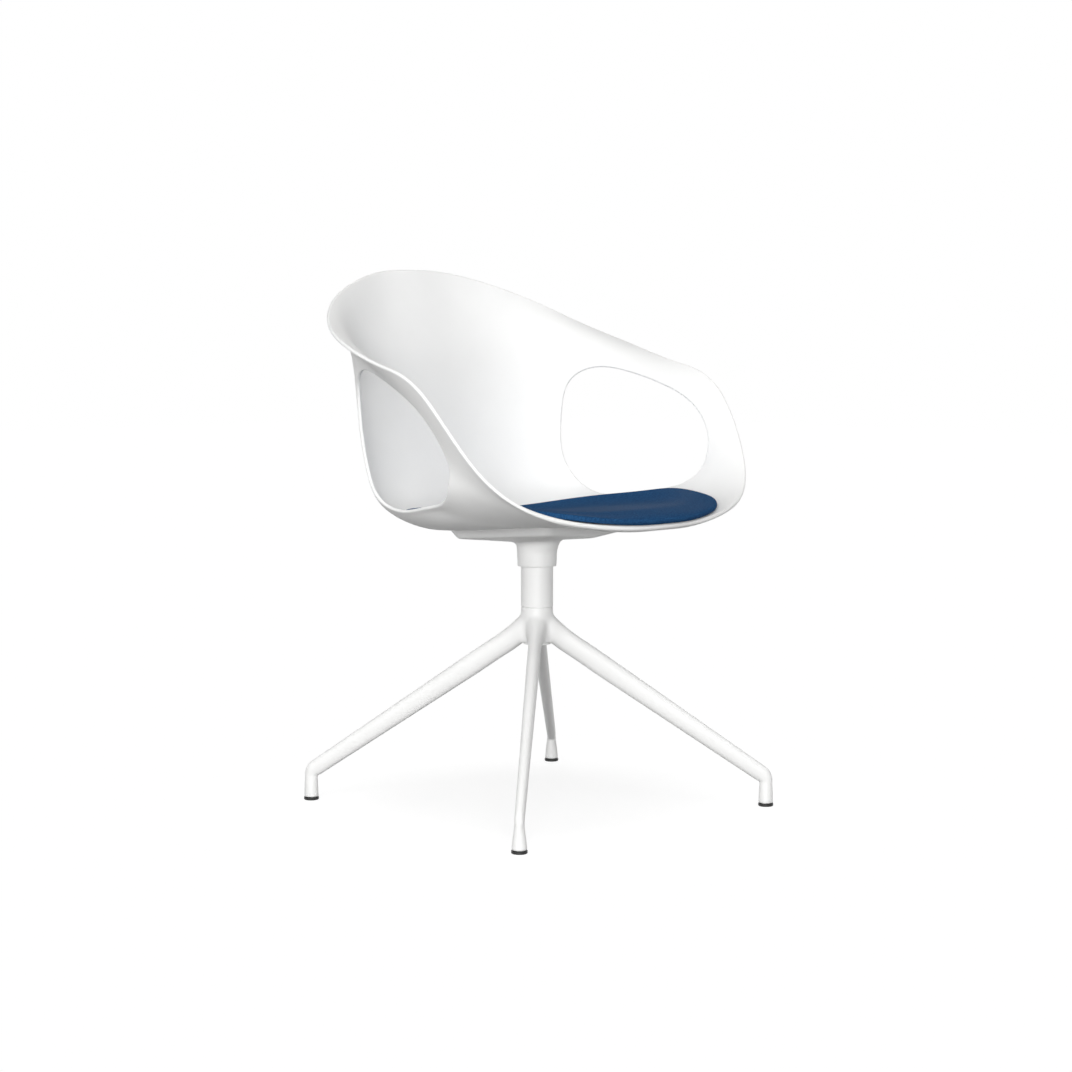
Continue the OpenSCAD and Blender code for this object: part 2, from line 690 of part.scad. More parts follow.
// Direction of each leg, from +X towards +Y
function foot_angle(k) = 45 + 90 * k + base_turn;

hub_edge = 1.5;
module star_base() color("white") difference() {
    union() {
        rotate_extrude($fn = fine)
            polygon([[0, hub_z], [hub_r - hub_edge, hub_z], [hub_r, hub_z + hub_edge],
                [hub_r, seam_z - seat_gap], [0, seam_z - seat_gap]]);
        at_feet()
            leg();
    }
    translate([0, 0, shelf_z - over])
        cylinder(h = seam_z - shelf_z + 2 * over, r = spigot_r + fit, $fn = fine);
    translate([0, 0, hub_z - over - knee_z])
        cylinder(h = shelf_z - hub_z + over + knee_z, r = nut_r + nut_clear, $fn = fine);
    at_feet()
        translate([foot_r, 0, 0])
            cylinder(h = glide_h + glide_stem_l + over, r = glide_stem_r + fit, $fn = fine);
}

glide_edge = 0.8;
module glide(k) {
    color("black")
        rotate([0, 0, foot_angle(k)])
            translate([foot_r, 0, 0])
                rotate_extrude($fn = fine)
                    polygon([[0, 0], [glide_r - glide_edge, 0], [glide_r, glide_edge], [glide_r, glide_h],
                        [glide_stem_r, glide_h], [glide_stem_r, glide_h + glide_stem_l],
                        [0, glide_h + glide_stem_l]]);
}

star_base();
glide(0);  // glide_1
glide(1);  // glide_2
glide(2);  // glide_3
glide(3);  // glide_4
column_tube();
column_nut();
hub_cap();
lower_bush();
upper_bush();
lower_race();
bearing_balls();
bearing_cage();
upper_race();
spindle();
spindle_bottom_washer();
spindle_bottom_bolt();
spindle_top_washer();
spindle_top_bolt();
seat_plate();
seat_screws();
shell_inserts();
shell();
pad_tabs();
pad_board();
seat_pad();
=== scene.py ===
import math

import bmesh
import bpy
import numpy as np
from mathutils import Matrix, Vector
from mathutils.kdtree import KDTree


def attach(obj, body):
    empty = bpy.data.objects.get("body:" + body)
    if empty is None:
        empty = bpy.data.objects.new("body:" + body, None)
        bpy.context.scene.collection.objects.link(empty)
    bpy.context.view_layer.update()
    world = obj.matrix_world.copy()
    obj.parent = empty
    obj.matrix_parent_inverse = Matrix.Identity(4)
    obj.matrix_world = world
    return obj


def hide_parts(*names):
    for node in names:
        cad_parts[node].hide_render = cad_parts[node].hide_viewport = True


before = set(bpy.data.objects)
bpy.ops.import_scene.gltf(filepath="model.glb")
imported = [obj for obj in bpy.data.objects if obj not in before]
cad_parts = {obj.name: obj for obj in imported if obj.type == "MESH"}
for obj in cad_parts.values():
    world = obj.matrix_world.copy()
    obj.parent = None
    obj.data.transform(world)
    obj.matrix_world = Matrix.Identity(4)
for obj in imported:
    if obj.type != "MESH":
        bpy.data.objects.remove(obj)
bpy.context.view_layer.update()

MM = 0.001
FULL_TURN = 2 * math.pi

# The shell's outlines, drawn to these sizes in millimetres
SHELL_R = 320
SEAT_Z = 413.8
SHELL_H = 368
SHELL_T = 7.5
HALF_T = SHELL_T / 2
# The seat falls towards the back by this angle, and this is the way up from it
SEAT_TILT = math.radians(4.6)
SEAT_UP = (0, math.sin(SEAT_TILT), math.cos(SEAT_TILT))

# Outline tables: stations from the front to the back, as shares of the shell's radius or height
FLAT_SHARES = (0.635, 0.64, 0.645, 0.605, 0.52, 0.445, 0.43)
FLAT_ROW_SHARES = (0, 0.2, 0.6, 1)
WALL_R_SHARES = (
    (0.665, 0.675, 0.68, 0.725, 0.73, 0.58, 0.51),
    (0.695, 0.72, 0.775, 0.805, 0.79, 0.69, 0.62),
    (0.72, 0.78, 0.93, 0.885, 0.84, 0.745, 0.605),
    (0.74, 0.815, 1.015, 0.72, 0.82, 0.835, 0.72),
)
WALL_Z_SHARES = (
    (0.04, 0.04, 0.085, 0.1, 0.05, 0.06, 0.06),
    (0.035, 0.03, 0.07, 0.125, 0.15, 0.185, 0.2),
    (0.03, 0.025, 0.11, 0.315, 0.425, 0.485, 0.51),
    (0.02, 0.02, 0.14, 0.54, 0.75, 0.79, 0.81),
)
# The underside follows flatter rows of heights at the seat's front corners
UNDER_Z_SHARES = (
    (0.04, 0.03, 0.04, 0.085, 0.05, 0.06, 0.06),
    (0.035, 0.03, 0.065, 0.125, 0.15, 0.185, 0.2),
) + WALL_Z_SHARES[2:]
RIM_R_SHARES = (0.745, 0.75, 0.795, 0.91, 1.02, 1.005, 0.945, 0.965, 0.96, 0.91, 0.845, 0.83, 0.79)
RIM_Z_SHARES = (0.015, 0.01, 0.03, 0.065, 0.19, 0.58, 0.615, 0.695, 0.775, 0.885, 0.95, 0.995, 1)
PAD_SHARES = (0.92, 0.92, 0.88, 0.78, 0.65, 0.52, 0.465, 0.455, 0.435, 0.4, 0.385, 0.38, 0.37)

# Arm opening: its centre, half length and half height, turn and lean, and its outline
ARM_X, ARM_Y, ARM_RISE = 250, 35, 131.2
ARM_HALF_L, ARM_HALF_H = 130, 100
ARM_YAW, ARM_LEAN = 17.5, 11
ARM_SHARES = (
    (0.91, 0.14), (0.89, 0.71), (0.54, 0.965), (0.1, 0.855), (-0.38, 0.65), (-0.85, 0.325),
    (-1.1, -0.39), (-0.8, -0.925), (-0.265, -0.975), (0.18, -1.1), (0.615, -0.965), (0.905, -0.49),
)

# Seat pad, in millimetres above the shell's middle layer: its underside, and how low its cover
# wraps down round the board's edge, then its thickness in the middle and at the edge, and the
# bulge of its side
PAD_LOW = 7.65
PAD_WRAP = 4.2
PAD_T = 8
PAD_EDGE_T = 5
PAD_SIDE = 2.5
# Shares of the pad's outline where the board and the cover end, and how flat the crown is
PAD_BOARD_SHARE = 0.958
PAD_EDGE_SHARE = 0.985
CROWN_POWER = 4


# Smooth blending of the outline tables

# Steps over which the shell's directions are measured, in degrees and in share of the way out
TURN_STEP = 0.5
ROW_STEP = 0.004
# Points nearer than this share to the middle are the centre, where all turns meet
CENTRE_SHARE = 1e-6


def blend(u):
    """Weights of four neighbouring stations in a uniform cubic B-spline."""
    return (
        (1 - u) ** 3 / 6,
        (3 * u**3 - 6 * u**2 + 4) / 6,
        (-3 * u**3 + 3 * u**2 + 3 * u + 1) / 6,
        u**3 / 6,
    )


def around(shares, turn):
    """Value of a table of stations at an angle from the front, in degrees."""
    table = np.array(shares, float)
    last = len(table) - 1
    place = turn * last / 180
    k = np.floor(place).astype(int)
    value = 0
    for step, weight in zip((-1, 0, 1, 2), blend(place - k)):
        value = value + weight * table[abs((k + step + last) % (2 * last) - last)]
    return value


def row_weights(t, count=9, degree=3):
    """Weights of the control rows at a share of the way from the seat's centre to the rim."""
    t = np.clip(t, 0, 1 - 1e-9)
    inner = count - degree
    knots = [min(max(i - degree, 0), inner) / inner for i in range(count + degree + 1)]
    basis = [((a <= t) & (t < b)).astype(float) for a, b in zip(knots, knots[1:])]
    for p in range(1, degree + 1):
        raised = []
        for i in range(len(basis) - 1):
            left, right = knots[i + p] - knots[i], knots[i + p + 1] - knots[i + 1]
            value = (t - knots[i]) / left * basis[i] if left else 0 * t
            raised.append(value + ((knots[i + p + 1] - t) / right * basis[i + 1] if right else 0))
        basis = raised
    return np.array(basis)


def surface(turn, t, heights=WALL_Z_SHARES):
    """Points of the shell's middle layer, in millimetres.

    They lie at angles from the front, in degrees, and at shares of the way to the rim.
    """
    flat = SHELL_R * around(FLAT_SHARES, turn)
    slope = math.tan(SEAT_TILT) * np.cos(np.radians(turn))
    rows = [(s * flat, SEAT_Z + slope * s * flat) for s in FLAT_ROW_SHARES]
    for r, z in zip(WALL_R_SHARES + (RIM_R_SHARES,), heights + (RIM_Z_SHARES,)):
        rows.append((SHELL_R * around(r, turn), SEAT_Z + SHELL_H * around(z, turn)))
    weights = row_weights(t)
    out = sum(w * r for w, (r, _) in zip(weights, rows))
    high = sum(w * z for w, (_, z) in zip(weights, rows))
    a = np.radians(turn)
    return np.stack([out * np.sin(a), -out * np.cos(a), high], axis=-1)


def unit(v):
    return v / np.linalg.norm(v, axis=-1, keepdims=True)


def frames(turn, t, heights=WALL_Z_SHARES):
    """Places, directions in and up out of the shell, and directions along its wall to the rim."""
    centre = (t < CENTRE_SHARE)[:, None]
    t = np.maximum(t, ROW_STEP)
    ahead, behind = np.minimum(t + ROW_STEP, 1), t - ROW_STEP
    along = unit(surface(turn, ahead, heights) - surface(turn, behind, heights))
    across = surface(turn + TURN_STEP, t, heights) - surface(turn - TURN_STEP, t, heights)
    place = np.where(centre, (0, 0, SEAT_Z), surface(turn, t, heights))
    return place, np.where(centre, SEAT_UP, unit(np.cross(along, across))), along


def fade(value, start, end):
    """Smooth step from 0 to 1 between two values."""
    s = np.clip((value - start) / (end - start), 0, 1)
    return s**2 * (3 - 2 * s)


def window(value, places):
    """Fades in between the first two of four places and out between the last two."""
    near, full, last, end = places
    return fade(value, near, full) * fade(-value, -end, -last)


# Meshes

# Points nearer than these become one: in a spun profile, in its own units, and in a CAD node and
# a wall's edge, in metres
SPUN_GAP = 1e-7
CAD_GAP = 1e-6
EDGE_GAP = 2e-6
# Share of the way to the middle of its neighbours that a point moves in a round of smoothing
SMOOTH_FACTOR = 0.5


def spun(profile, steps):
    """A turned form about the Z axis from a profile of radius and height that starts in front."""
    bm = bmesh.new()
    verts = [bm.verts.new((0, -r, z)) for r, z in profile]
    edges = [bm.edges.new(pair) for pair in zip(verts, verts[1:])]
    bmesh.ops.spin(
        bm, geom=verts + edges, cent=(0, 0, 0), axis=(0, 0, 1), angle=FULL_TURN,
        steps=steps, use_merge=True,
    )
    bmesh.ops.remove_doubles(bm, verts=bm.verts, dist=SPUN_GAP)
    return bm


def coordinates(verts):
    return np.array([v.co for v in verts], float).reshape(-1, 3)


def move(verts, places):
    for v, place in zip(verts, places):
        v.co = place


def turns_of(co):
    """Angle from the front towards +X, in degrees, of each point."""
    return np.degrees(np.arctan2(co[:, 0], -co[:, 1]))


def piece(name, bm, material, body):
    """An object of the part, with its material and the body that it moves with."""
    mesh = bpy.data.meshes.new(name)
    bm.to_mesh(mesh)
    bm.free()
    mesh.shade_smooth()
    mesh.materials.append(material)
    obj = bpy.data.objects.new(name, mesh)
    bpy.context.scene.collection.objects.link(obj)
    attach(obj, body)
    return obj


def apply_modifiers(obj):
    """The object's mesh becomes what its modifiers make of it."""
    bpy.context.view_layer.update()
    graph = bpy.context.evaluated_depsgraph_get()
    made = bpy.data.meshes.new_from_object(obj.evaluated_get(graph))
    old = obj.data
    obj.modifiers.clear()
    obj.data = made
    made.name = obj.name
    bpy.data.meshes.remove(old)
    made.shade_smooth()


def merged_copy(node):
    """A bmesh of a CAD node with its loose triangles joined."""
    bm = bmesh.new()
    bm.from_mesh(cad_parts[node].data)
    bmesh.ops.remove_doubles(bm, verts=bm.verts, dist=CAD_GAP)
    return bm


# Materials

# Coats and mouldings: the size of the clouds in their colour and in their gloss, in metres, how
# dark a cloud is, and how far the roughness goes down and up from its value
CLOUD_GRAIN = 0.05
GLOSS_GRAIN = 0.012
CLOUD_TINT = 0.985
COAT_SPREAD = (-0.04, 0.05)
# Metals: the size of the tool marks in metres and their stretch, how dark they are, how deep in
# metres, and how far the roughness goes down and up from its value
MARK_GRAIN = 0.0006
MARK_STRETCH = (1, 1, 12)
MARK_TINT = 0.85
MARK_DEPTH = 0.00003
METAL_SPREAD = (-0.06, 0.08)
# Wool: the radians by which a wave texture of scale 1 turns in a metre, how much a thread wavers,
# the size of the flecks and of the nap in metres, the shares of thread and fleck in the colour, the
# share of thread in the relief, the relief's depth in metres, and how matt the wool is
WAVE_RADIANS = 20
THREAD_WAVE = 0.6
FLECK_GRAIN = 0.0022
NAP_GRAIN = 0.0012
THREAD_SHARE = 0.2
FLECK_SHARE = 0.85
THREAD_RELIEF = 0.4
NAP_DEPTH = 0.0003
WOOL_ROUGHNESS = 0.95
WOOL_SPECULAR = 0.08


class Tree:
    """A node tree with the few helpers that the finishes, the floor and the backdrop share."""

    def __init__(self, owner):
        owner.use_nodes = True
        self.tree = owner.node_tree

    def add(self, kind, **values):
        node = self.tree.nodes.new(kind)
        for key, value in values.items():
            setattr(node, key, value)
        return node

    def link(self, source, target):
        self.tree.links.new(source, target)

    def math(self, operation, a, b):
        node = self.add("ShaderNodeMath", operation=operation)
        for socket, value in zip(node.inputs, (a, b)):
            if isinstance(value, (int, float)):
                socket.default_value = value
            else:
                self.link(value, socket)
        return node.outputs["Value"]

    def range(self, value, target, source=(0, 1), interpolation="LINEAR"):
        """A value over the source's span becomes one over the target's span."""
        node = self.add("ShaderNodeMapRange", interpolation_type=interpolation)
        node.inputs["From Min"].default_value, node.inputs["From Max"].default_value = source
        node.inputs["To Min"].default_value, node.inputs["To Max"].default_value = target
        self.link(value, node.inputs["Value"])
        return node.outputs["Result"]

    def mix(self, share, first, second):
        """A share of the second shader in place of the first."""
        node = self.add("ShaderNodeMixShader")
        for source, socket in zip((share, first, second), node.inputs):
            self.link(source, socket)
        return node.outputs["Shader"]

    def show(self, kind, shader):
        """The tree's surface shows this shader through an output node of a kind."""
        self.link(shader, self.add(kind).inputs["Surface"])


class Finish(Tree):
    """A material whose colour, gloss and relief follow the place on the object."""

    def __init__(self, name):
        self.material = bpy.data.materials.new(name)
        super().__init__(self.material)
        self.shader = self.tree.nodes["Principled BSDF"]
        self.place = self.add("ShaderNodeTexCoord").outputs["Object"]

    def stretch(self, scale):
        node = self.add("ShaderNodeMapping")
        node.inputs["Scale"].default_value = scale
        self.link(self.place, node.inputs["Vector"])
        return node.outputs["Vector"]

    def noise(self, size, detail=2, vector=None):
        """Noise with grains of about this size in metres."""
        node = self.add("ShaderNodeTexNoise")
        node.inputs["Scale"].default_value = 1 / size
        node.inputs["Detail"].default_value = detail
        self.link(vector or self.place, node.inputs["Vector"])
        return node.outputs["Fac"]

    def colour(self, fac, *stops):
        """Base colour from a ramp through stops of place and colour."""
        node = self.add("ShaderNodeValToRGB")
        points = node.color_ramp.elements
        for point, (place, colour) in zip(points, stops, strict=True):
            point.position = place
            point.color = (*colour, 1)
        self.link(fac, node.inputs["Fac"])
        self.link(node.outputs["Color"], self.shader.inputs["Base Color"])

    def gloss(self, fac, roughness, spread):
        """Roughness that goes down and up from its value."""
        span = [roughness + s for s in spread]
        self.link(self.range(fac, span), self.shader.inputs["Roughness"])

    def bump(self, height, depth):
        """Relief of this depth in metres."""
        node = self.add("ShaderNodeBump")
        node.inputs["Distance"].default_value = depth
        self.link(height, node.inputs["Height"])
        self.link(node.outputs["Normal"], self.shader.inputs["Normal"])


def tinted(colour, share):
    return tuple(min(1, c * share) for c in colour)


def coated(name, colour, roughness, grain, depth):
    """Matt coat or moulded plastic: fine grain, soft cloudiness in colour and in gloss."""
    n = Finish(name)
    n.colour(n.noise(CLOUD_GRAIN, 3), (0.3, tinted(colour, CLOUD_TINT)), (0.7, colour))
    n.gloss(n.noise(GLOSS_GRAIN), roughness, COAT_SPREAD)
    n.bump(n.noise(grain, 4), depth)
    return n.material


def metal(name, colour, roughness):
    """Turned or plated metal with fine tool marks along one way."""
    n = Finish(name)
    n.shader.inputs["Metallic"].default_value = 1
    marks = n.noise(MARK_GRAIN, 3, n.stretch(MARK_STRETCH))
    n.colour(marks, (0.25, tinted(colour, MARK_TINT)), (0.75, colour))
    n.gloss(marks, roughness, METAL_SPREAD)
    n.bump(marks, MARK_DEPTH)
    return n.material


def woven(name, dark, light, pitch):
    """Plain-woven wool: crossing threads, flecks of a darker and a lighter yarn, a soft nap."""
    n = Finish(name)
    bands = []
    for way in ("X", "Y"):
        wave = n.add("ShaderNodeTexWave", wave_type="BANDS", bands_direction=way)
        # A wave is as long as two threads
        wave.inputs["Scale"].default_value = 1 / (pitch * WAVE_RADIANS / FULL_TURN * 2)
        wave.inputs["Distortion"].default_value = THREAD_WAVE
        wave.inputs["Detail"].default_value = 1
        n.link(n.place, wave.inputs["Vector"])
        bands.append(wave.outputs["Fac"])
    thread = n.math("MAXIMUM", *bands)
    flecks = n.math("MULTIPLY", n.noise(FLECK_GRAIN, 5), FLECK_SHARE)
    yarn = n.math("ADD", n.math("MULTIPLY", thread, THREAD_SHARE), flecks)
    n.colour(yarn, (0.3, dark), (0.8, light))
    n.shader.inputs["Roughness"].default_value = WOOL_ROUGHNESS
    n.shader.inputs["Specular IOR Level"].default_value = WOOL_SPECULAR
    nap = n.math("ADD", n.math("MULTIPLY", thread, THREAD_RELIEF), n.noise(NAP_GRAIN, 4))
    n.bump(nap, NAP_DEPTH)
    return n.material


WHITE = (0.88, 0.88, 0.872)
BLACK = (0.006, 0.006, 0.006)
shell_plastic = coated("shell_plastic", WHITE, roughness=0.52, grain=0.0009, depth=0.00004)
powder_coat = coated("powder_coat", WHITE, roughness=0.45, grain=0.0016, depth=0.00004)
cap_plastic = coated("cap_plastic", WHITE, roughness=0.55, grain=0.0009, depth=0.00004)
black_nylon = coated("black_nylon", BLACK, roughness=0.5, grain=0.0008, depth=0.00003)
board_plastic = coated(
    "board_plastic", (0.045, 0.045, 0.048), roughness=0.6, grain=0.001, depth=0.00005
)
acetal = coated("acetal", (0.74, 0.71, 0.62), roughness=0.4, grain=0.001, depth=0.00002)
hook_tape = woven("hook_tape", (0.01, 0.01, 0.01), (0.03, 0.03, 0.03), pitch=0.0012)
steel = metal("zinc_steel", (0.56, 0.56, 0.57), roughness=0.32)
ground_steel = metal("ground_steel", (0.62, 0.62, 0.63), roughness=0.2)
brass = metal("brass", (0.72, 0.53, 0.24), roughness=0.3)
pad_wool = woven("pad_wool", (0.006, 0.033, 0.096), (0.021, 0.086, 0.208), pitch=0.0014)

# Each CAD node's finish
FINISHES = (
    (powder_coat, ("star_base", "column_tube", "seat_plate")),
    (shell_plastic, ("shell",)),
    (cap_plastic, ("hub_cap",)),
    (black_nylon, ("glide_1", "glide_2", "glide_3", "glide_4")),
    (acetal, ("lower_bush", "upper_bush")),
    (ground_steel, ("lower_race", "upper_race", "bearing_balls", "spindle")),
    (steel, (
        "column_nut", "spindle_bottom_washer", "spindle_bottom_bolt", "spindle_top_washer",
        "spindle_top_bolt", "seat_screws",
    )),
    (brass, ("bearing_cage", "shell_inserts")),
    (hook_tape, ("pad_tabs",)),
    (board_plastic, ("pad_board",)),
    (pad_wool, ("seat_pad",)),
)
for finish, nodes in FINISHES:
    for node in nodes:
        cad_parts[node].data.materials.clear()
        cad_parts[node].data.materials.append(finish)


# Seat shell

SHELL_STEPS = 360
SHELL_ROWS = 72
# Rows lie a little closer together towards the rim
ROW_POWER = 0.8
# Round edge of the wall: its steps from the upper side to the lower one, and how square it is
EDGE_TURNS = [math.radians(b) for b in (67.5, 45, 22.5, 0, -22.5, -45, -67.5, -90)]
EDGE_POWER = 2.2
# The wall thins by this share towards its edges, over this distance in metres
EDGE_THIN = 0.3
EDGE_REACH = 0.022
# Steps in each stretch of an arm opening's outline
ARM_STEPS = 24
# The outline is found on the disc in rounds from one start, a turn and a share of the way to the
# rim, with a small difference and a longest step for each of the two, and limits for the share
DISC_START = (85, 0.78)
DISC_ROUNDS = 30
DISC_SMALL = (0.001, 0.00001)
DISC_STEP = (15, 0.1)
DISC_LIMITS = (0.05, 0.999)
# Rounds that even out the points along an opening's edge, and how far they move in each
EVEN_ROUNDS = 60
EVEN_FACTOR = 0.4
# Rings of points round an opening that are smoothed, and the rounds
HOLE_RINGS = 6
HOLE_ROUNDS = 20
# Underside of the seat's corners: the rounds that smooth it, the shares of the way to the rim and
# the turns where that fades in and out, and the distances from an edge, in metres, over which it
# fades in
UNDER_ROUNDS = 40
UNDER_SHARES = (0.3, 0.42, 0.74, 0.9)
UNDER_TURNS = (8, 24, 112, 130)
UNDER_REACH = (EDGE_REACH / 4, 0.03)


def arm_plane(co):
    """Places on the plane of the arm opening on the same side, back and up."""
    yaw, lean = math.radians(ARM_YAW), math.radians(90 + ARM_LEAN)
    turn = np.array(Matrix.Rotation(yaw, 3, "Z") @ Matrix.Rotation(lean, 3, "Y"))
    right = co * (np.where(co[:, :1] < 0, -1, 1) * (1, 0, 0) + (0, 1, 1))
    local = (right - (ARM_X, ARM_Y, SEAT_Z + ARM_RISE)) @ turn
    return local[:, 1], -local[:, 0]


def arm_outline():
    """Closed outline of the arm opening, on its plane, in millimetres."""
    points = np.array(ARM_SHARES) * (ARM_HALF_L, ARM_HALF_H)
    ring = []
    for i in range(len(points)):
        near = [points[(i + j) % len(points)] for j in (-1, 0, 1, 2)]
        for s in range(ARM_STEPS):
            ring.append(sum(w * p for w, p in zip(blend(s / ARM_STEPS), near)))
    return np.array(ring)


def set_back(ring):
    """An outline moved outwards by half the wall, where the round edge of the opening begins."""
    ahead = np.roll(ring, -1, axis=0) - np.roll(ring, 1, axis=0)
    out = unit(np.stack([ahead[:, 1], -ahead[:, 0]], axis=-1))
    middle = ring.mean(axis=0)
    return ring + HALF_T * out * np.sign(np.sum(out * (ring - middle), axis=1, keepdims=True))


def inside(x, y, ring):
    """Which points lie inside a closed outline."""
    odd = np.zeros(len(x), bool)
    for (x0, y0), (x1, y1) in zip(ring, np.roll(ring, -1, axis=0)):
        crosses = (y0 > y) != (y1 > y)
        if y0 != y1:
            odd ^= crosses & (x < (x1 - x0) * (y - y0) / (y1 - y0) + x0)
    return odd


def outline_on_disc(ring):
    """The opening's outline on the flat disc that becomes the shell."""
    turn, t = (np.full(len(ring), value, float) for value in DISC_START)
    for _ in range(DISC_ROUNDS):
        u, v = arm_plane(surface(turn, t))
        u1, v1 = arm_plane(surface(turn + DISC_SMALL[0], t))
        u2, v2 = arm_plane(surface(turn, t + DISC_SMALL[1]))
        a, b = (u1 - u) / DISC_SMALL[0], (u2 - u) / DISC_SMALL[1]
        c, d = (v1 - v) / DISC_SMALL[0], (v2 - v) / DISC_SMALL[1]
        det = a * d - b * c
        du, dv = ring[:, 0] - u, ring[:, 1] - v
        turn = turn + np.clip((d * du - b * dv) / det, -DISC_STEP[0], DISC_STEP[0])
        t = t + np.clip((a * dv - c * du) / det, -DISC_STEP[1], DISC_STEP[1])
        t = np.clip(t, *DISC_LIMITS)
    a = np.radians(turn)
    return np.stack([t * np.sin(a), -t * np.cos(a), 0 * t], axis=-1)


def nearest_on(ring, point):
    """Nearest place on a closed outline, as a distance along it in whole and part steps."""
    k = int(np.argmin(np.linalg.norm(ring - point, axis=1)))
    best = None
    for i in (k - 1, k):
        a, b = ring[i % len(ring)], ring[(i + 1) % len(ring)]
        s = float(np.clip(np.dot(point - a, b - a) / np.dot(b - a, b - a), 0, 1))
        gap = np.linalg.norm(a + (b - a) * s - point)
        if best is None or gap < best[0]:
            best = (gap, i % len(ring) + s)
    return best[1]


def on_ring(ring, s):
    k = math.floor(s)
    a, b = ring[k % len(ring)], ring[(k + 1) % len(ring)]
    return a + (b - a) * (s - k)


def edge_loop(verts):
    """Verts of an open edge in their order round it."""
    verts = set(verts)
    first = min(verts, key=lambda v: tuple(v.co))
    loop, last, here = [], None, first
    while not loop or here != first:
        loop.append(here)
        ways = [e.other_vert(here) for e in here.link_edges if e.is_boundary]
        last, here = here, next(v for v in ways if v != last and v in verts)
    return loop


def even_out(places, whole):
    """Places along a closed edge move towards the middle of their neighbours."""
    for _ in range(EVEN_ROUNDS):
        before = np.concatenate([[places[-1] - whole], places[:-1]])
        after = np.concatenate([places[1:], [places[0] + whole]])
        places = places + EVEN_FACTOR * ((before + after) / 2 - places)
    return places


def cut_opening(bm, ring):
    """Cuts an outline out of the disc and draws the edge that is left onto it."""
    verts = list(bm.verts)
    co = coordinates(verts)
    lost = inside(co[:, 0], co[:, 1], ring[:, :2])
    gone = {f for v, out in zip(verts, lost) if out for f in v.link_faces}
    keep = {v for f in gone for v in f.verts}
    bmesh.ops.delete(bm, geom=list(gone), context="FACES")
    loop = edge_loop([v for v in keep if v.is_valid and v.is_boundary])
    places = np.array([nearest_on(ring, np.array(v.co)) for v in loop])
    ahead = np.unwrap(places * FULL_TURN / len(ring)) * len(ring) / FULL_TURN
    whole = math.copysign(len(ring), ahead[-1] - ahead[0])
    for v, s in zip(loop, even_out(ahead, whole)):
        v.co = on_ring(ring, s)
    near, region = set(loop), set(loop)
    for _ in range(HOLE_RINGS):
        near = {e.other_vert(v) for v in near for e in v.link_edges} - region
        region |= near
    region = sorted((v for v in region if not v.is_boundary), key=lambda v: tuple(v.co))
    for _ in range(HOLE_ROUNDS):
        bmesh.ops.smooth_vert(
            bm, verts=region, factor=SMOOTH_FACTOR, use_axis_x=True, use_axis_y=True
        )
    return loop


def edge_distances(verts, loops):
    """Distance of each point from the nearest open edge."""
    edge = [v.co for loop, _ in loops for v in loop]
    tree = KDTree(len(edge))
    for k, place in enumerate(edge):
        tree.insert(place, k)
    tree.balance()
    return np.array([tree.find(v.co)[2] for v in verts])


def smooth_layer(bm, verts, share, rounds):
    """Points of a layer move towards their neighbours' middle, each by its own share."""
    bm.verts.index_update()
    index = {v.index: k for k, v in enumerate(verts)}
    edges = [[v.index for v in e.verts] for e in bm.edges]
    pairs = np.array([[index[i] for i in pair] for pair in edges if pair[0] in index])
    co = coordinates(verts)
    a, b = pairs[:, 0], pairs[:, 1]
    count = np.bincount(a, minlength=len(co)) + np.bincount(b, minlength=len(co))
    for _ in range(rounds):
        total = np.stack([
            np.bincount(a, co[b, k], len(co)) + np.bincount(b, co[a, k], len(co)) for k in range(3)
        ], axis=-1)
        co = co + SMOOTH_FACTOR * share[:, None] * (total / count[:, None] - co)
    move(verts, co)


def edge_ways(loop, sense, ups):
    """Directions out of the wall at each point of its open edge, on the side of their sense."""
    ways = []
    for k, v in enumerate(loop):
        along = loop[(k + 1) % len(loop)].co - loop[k - 1].co
        out = along.cross(ups[v]).normalized()
        ways.append(out * (1 if out.dot(sense(v)) > 0 else -1))
    return ways


def round_edge(bm, loop, ways, ups, middles):
    """Extrudes the upper side's open edge round the wall's edge to the lower side."""
    half = HALF_T * MM
    out_half = half * (1 - EDGE_THIN)
    ring = loop
    edges = [e for e in {e for v in loop for e in v.link_edges} if e.is_boundary]
    for b in EDGE_TURNS:
        at = {tuple(v.co): k for k, v in enumerate(ring)}
        step = bmesh.ops.extrude_edge_only(bm, edges=edges)["geom"]
        edges = [g for g in step if isinstance(g, bmesh.types.BMEdge) and g.is_boundary]
        ring = [None] * len(loop)
        for g in step:
            if isinstance(g, bmesh.types.BMVert):
                ring[at[tuple(g.co)]] = g
        c, s = abs(math.cos(b)) ** (2 / EDGE_POWER), abs(math.sin(b)) ** (2 / EDGE_POWER)
        for v, way, lift, middle in zip(ring, ways, ups, middles):
            v.co = middle + out_half * c * way + math.copysign(half * s, b) * lift


